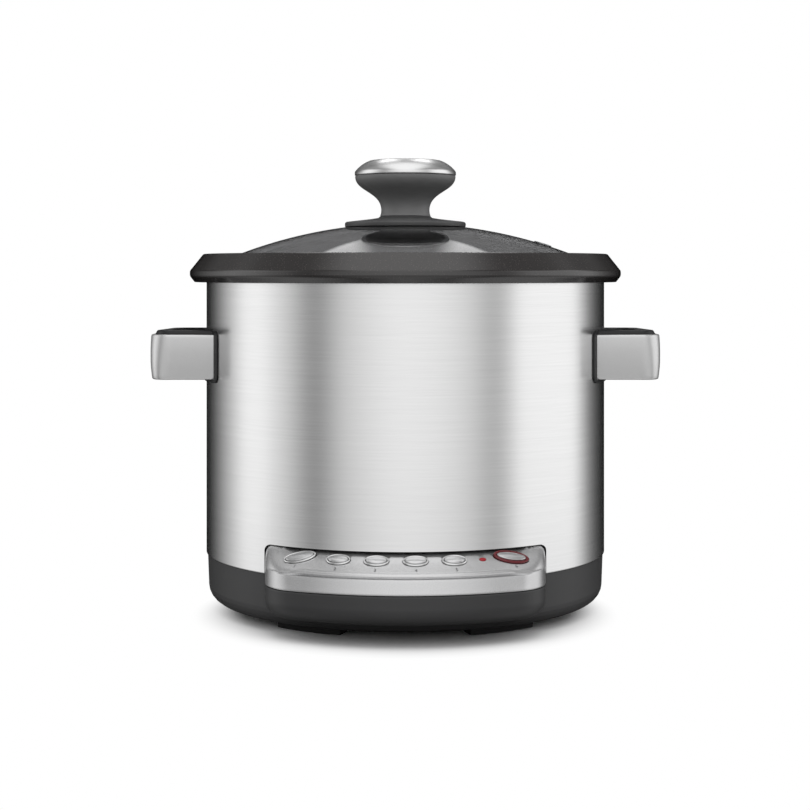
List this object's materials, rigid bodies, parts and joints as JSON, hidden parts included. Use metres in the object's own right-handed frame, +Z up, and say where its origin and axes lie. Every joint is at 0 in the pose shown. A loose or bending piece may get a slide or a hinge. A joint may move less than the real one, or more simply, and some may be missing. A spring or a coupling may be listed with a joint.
{
  "type": "multicooker",
  "caption": "Countertop multicooker: round brushed steel body on a dark base, side handles, front button panel, lift-out coated bowl and a glass lid with a knob.",
  "frame": {"origin": "on the floor, under the middle of the whole object's box", "axes": "+Z up, +X to the right seen from the front, along the line of the two handles, and -Y towards the front panel"},
  "size_m": [0.35, 0.3116, 0.3139],
  "materials": {
    "brushed_steel": "fine horizontal brushing",
    "plain_steel": "plain",
    "handle_silver": "satin",
    "polished_steel": "polished",
    "aluminium": "cast and turned",
    "silver_plastic": "silver paint",
    "dark_plastic": "fine satin",
    "black_plastic": "fine satin",
    "bowl_coating": "dark brown speckled non-stick coat",
    "rubber": "matt",
    "red_plastic": "dark red gloss",
    "red_lamp": "clear red",
    "circuit": "lacquered board",
    "ivory": "ceramic",
    "glass": "clear tempered glass"
  },
  "bodies": {
    "cooker": {"base_housing": "dark_plastic", "bottom_cover": "black_plastic", "cover_screw_1": "plain_steel", "cover_screw_2": "plain_steel", "cover_screw_3": "plain_steel", "foot_1": "rubber", "foot_2": "rubber", "foot_3": "rubber", "foot_4": "rubber", "outer_shell": "brushed_steel", "inner_liner": "aluminium", "top_ring": "black_plastic", "inlet_socket": "black_plastic", "power_board": "circuit", "panel_lead": "black_plastic", "heater_lead_1": "red_plastic", "heater_lead_2": "red_plastic", "heating_plate": "aluminium", "heating_element": "plain_steel", "plate_standoff_1": "plain_steel", "plate_standoff_2": "plain_steel", "plate_standoff_3": "plain_steel", "thermal_fuse": "ivory", "sensor_guide": "ivory", "sensor_spring": "plain_steel", "control_panel": "silver_plastic", "power_bezel": "polished_steel", "program_1_bezel": "polished_steel", "program_2_bezel": "polished_steel", "program_3_bezel": "polished_steel", "program_4_bezel": "polished_steel", "start_ring": "red_plastic", "warm_lamp": "red_lamp", "circuit_strip": "circuit", "handle_collar_right": "black_plastic", "handle_core_right": "black_plastic", "handle_strap_right": "handle_silver", "handle_screw_right_1": "plain_steel", "handle_screw_right_2": "plain_steel", "handle_collar_left": "black_plastic", "handle_core_left": "black_plastic", "handle_strap_left": "handle_silver", "handle_screw_left_1": "plain_steel", "handle_screw_left_2": "plain_steel"},
    "bowl": {"cooking_bowl": "bowl_coating"},
    "lid": {"lid_glass": "glass", "lid_band": "black_plastic", "steam_vent": "plain_steel", "knob_washer": "black_plastic", "knob_screw": "plain_steel", "knob_base": "dark_plastic", "knob_grip": "dark_plastic", "knob_cap": "polished_steel"},
    "sensor": {"sensor_cap": "aluminium"},
    "power_key": {"power_button": "silver_plastic"},
    "program_1_key": {"program_1_button": "silver_plastic"},
    "program_2_key": {"program_2_button": "silver_plastic"},
    "program_3_key": {"program_3_button": "silver_plastic"},
    "program_4_key": {"program_4_button": "silver_plastic"},
    "start_key": {"start_button": "silver_plastic"}
  },
  "joints": [
    {"name": "bowl_lift", "type": "slide", "parent": "cooker", "child": "bowl", "axis": [0, 0, 1], "range_m": [0, 0.16]},
    {"name": "lid_lift", "type": "slide", "parent": "bowl", "child": "lid", "axis": [0, 0, 1], "range_m": [0, 0.08]},
    {"name": "sensor_press", "type": "slide", "parent": "cooker", "child": "sensor", "axis": [0, 0, 1], "range_m": [-0.003, 0], "stiffness_N_per_m": 300, "springref_m": 0.002, "deforming": ["sensor_spring"]},
    {"name": "power_press", "type": "slide", "parent": "cooker", "child": "power_key", "axis": [0.2497, 0.4879, -0.8365], "range_m": [0, 0.0015], "stiffness_N_per_m": 500, "springref_m": -0.001},
    {"name": "program_1_press", "type": "slide", "parent": "cooker", "child": "program_1_key", "axis": [0.1575, 0.5249, -0.8365], "range_m": [0, 0.0015], "stiffness_N_per_m": 500, "springref_m": -0.001},
    {"name": "program_2_press", "type": "slide", "parent": "cooker", "child": "program_2_key", "axis": [0.0677, 0.5438, -0.8365], "range_m": [0, 0.0015], "stiffness_N_per_m": 500, "springref_m": -0.001},
    {"name": "program_3_press", "type": "slide", "parent": "cooker", "child": "program_3_key", "axis": [-0.0239, 0.5475, -0.8365], "range_m": [0, 0.0015], "stiffness_N_per_m": 500, "springref_m": -0.001},
    {"name": "program_4_press", "type": "slide", "parent": "cooker", "child": "program_4_key", "axis": [-0.1149, 0.5359, -0.8365], "range_m": [0, 0.0015], "stiffness_N_per_m": 500, "springref_m": -0.001},
    {"name": "start_press", "type": "slide", "parent": "cooker", "child": "start_key", "axis": [-0.2505, 0.4874, -0.8365], "range_m": [0, 0.0015], "stiffness_N_per_m": 500, "springref_m": -0.001}
  ]
}
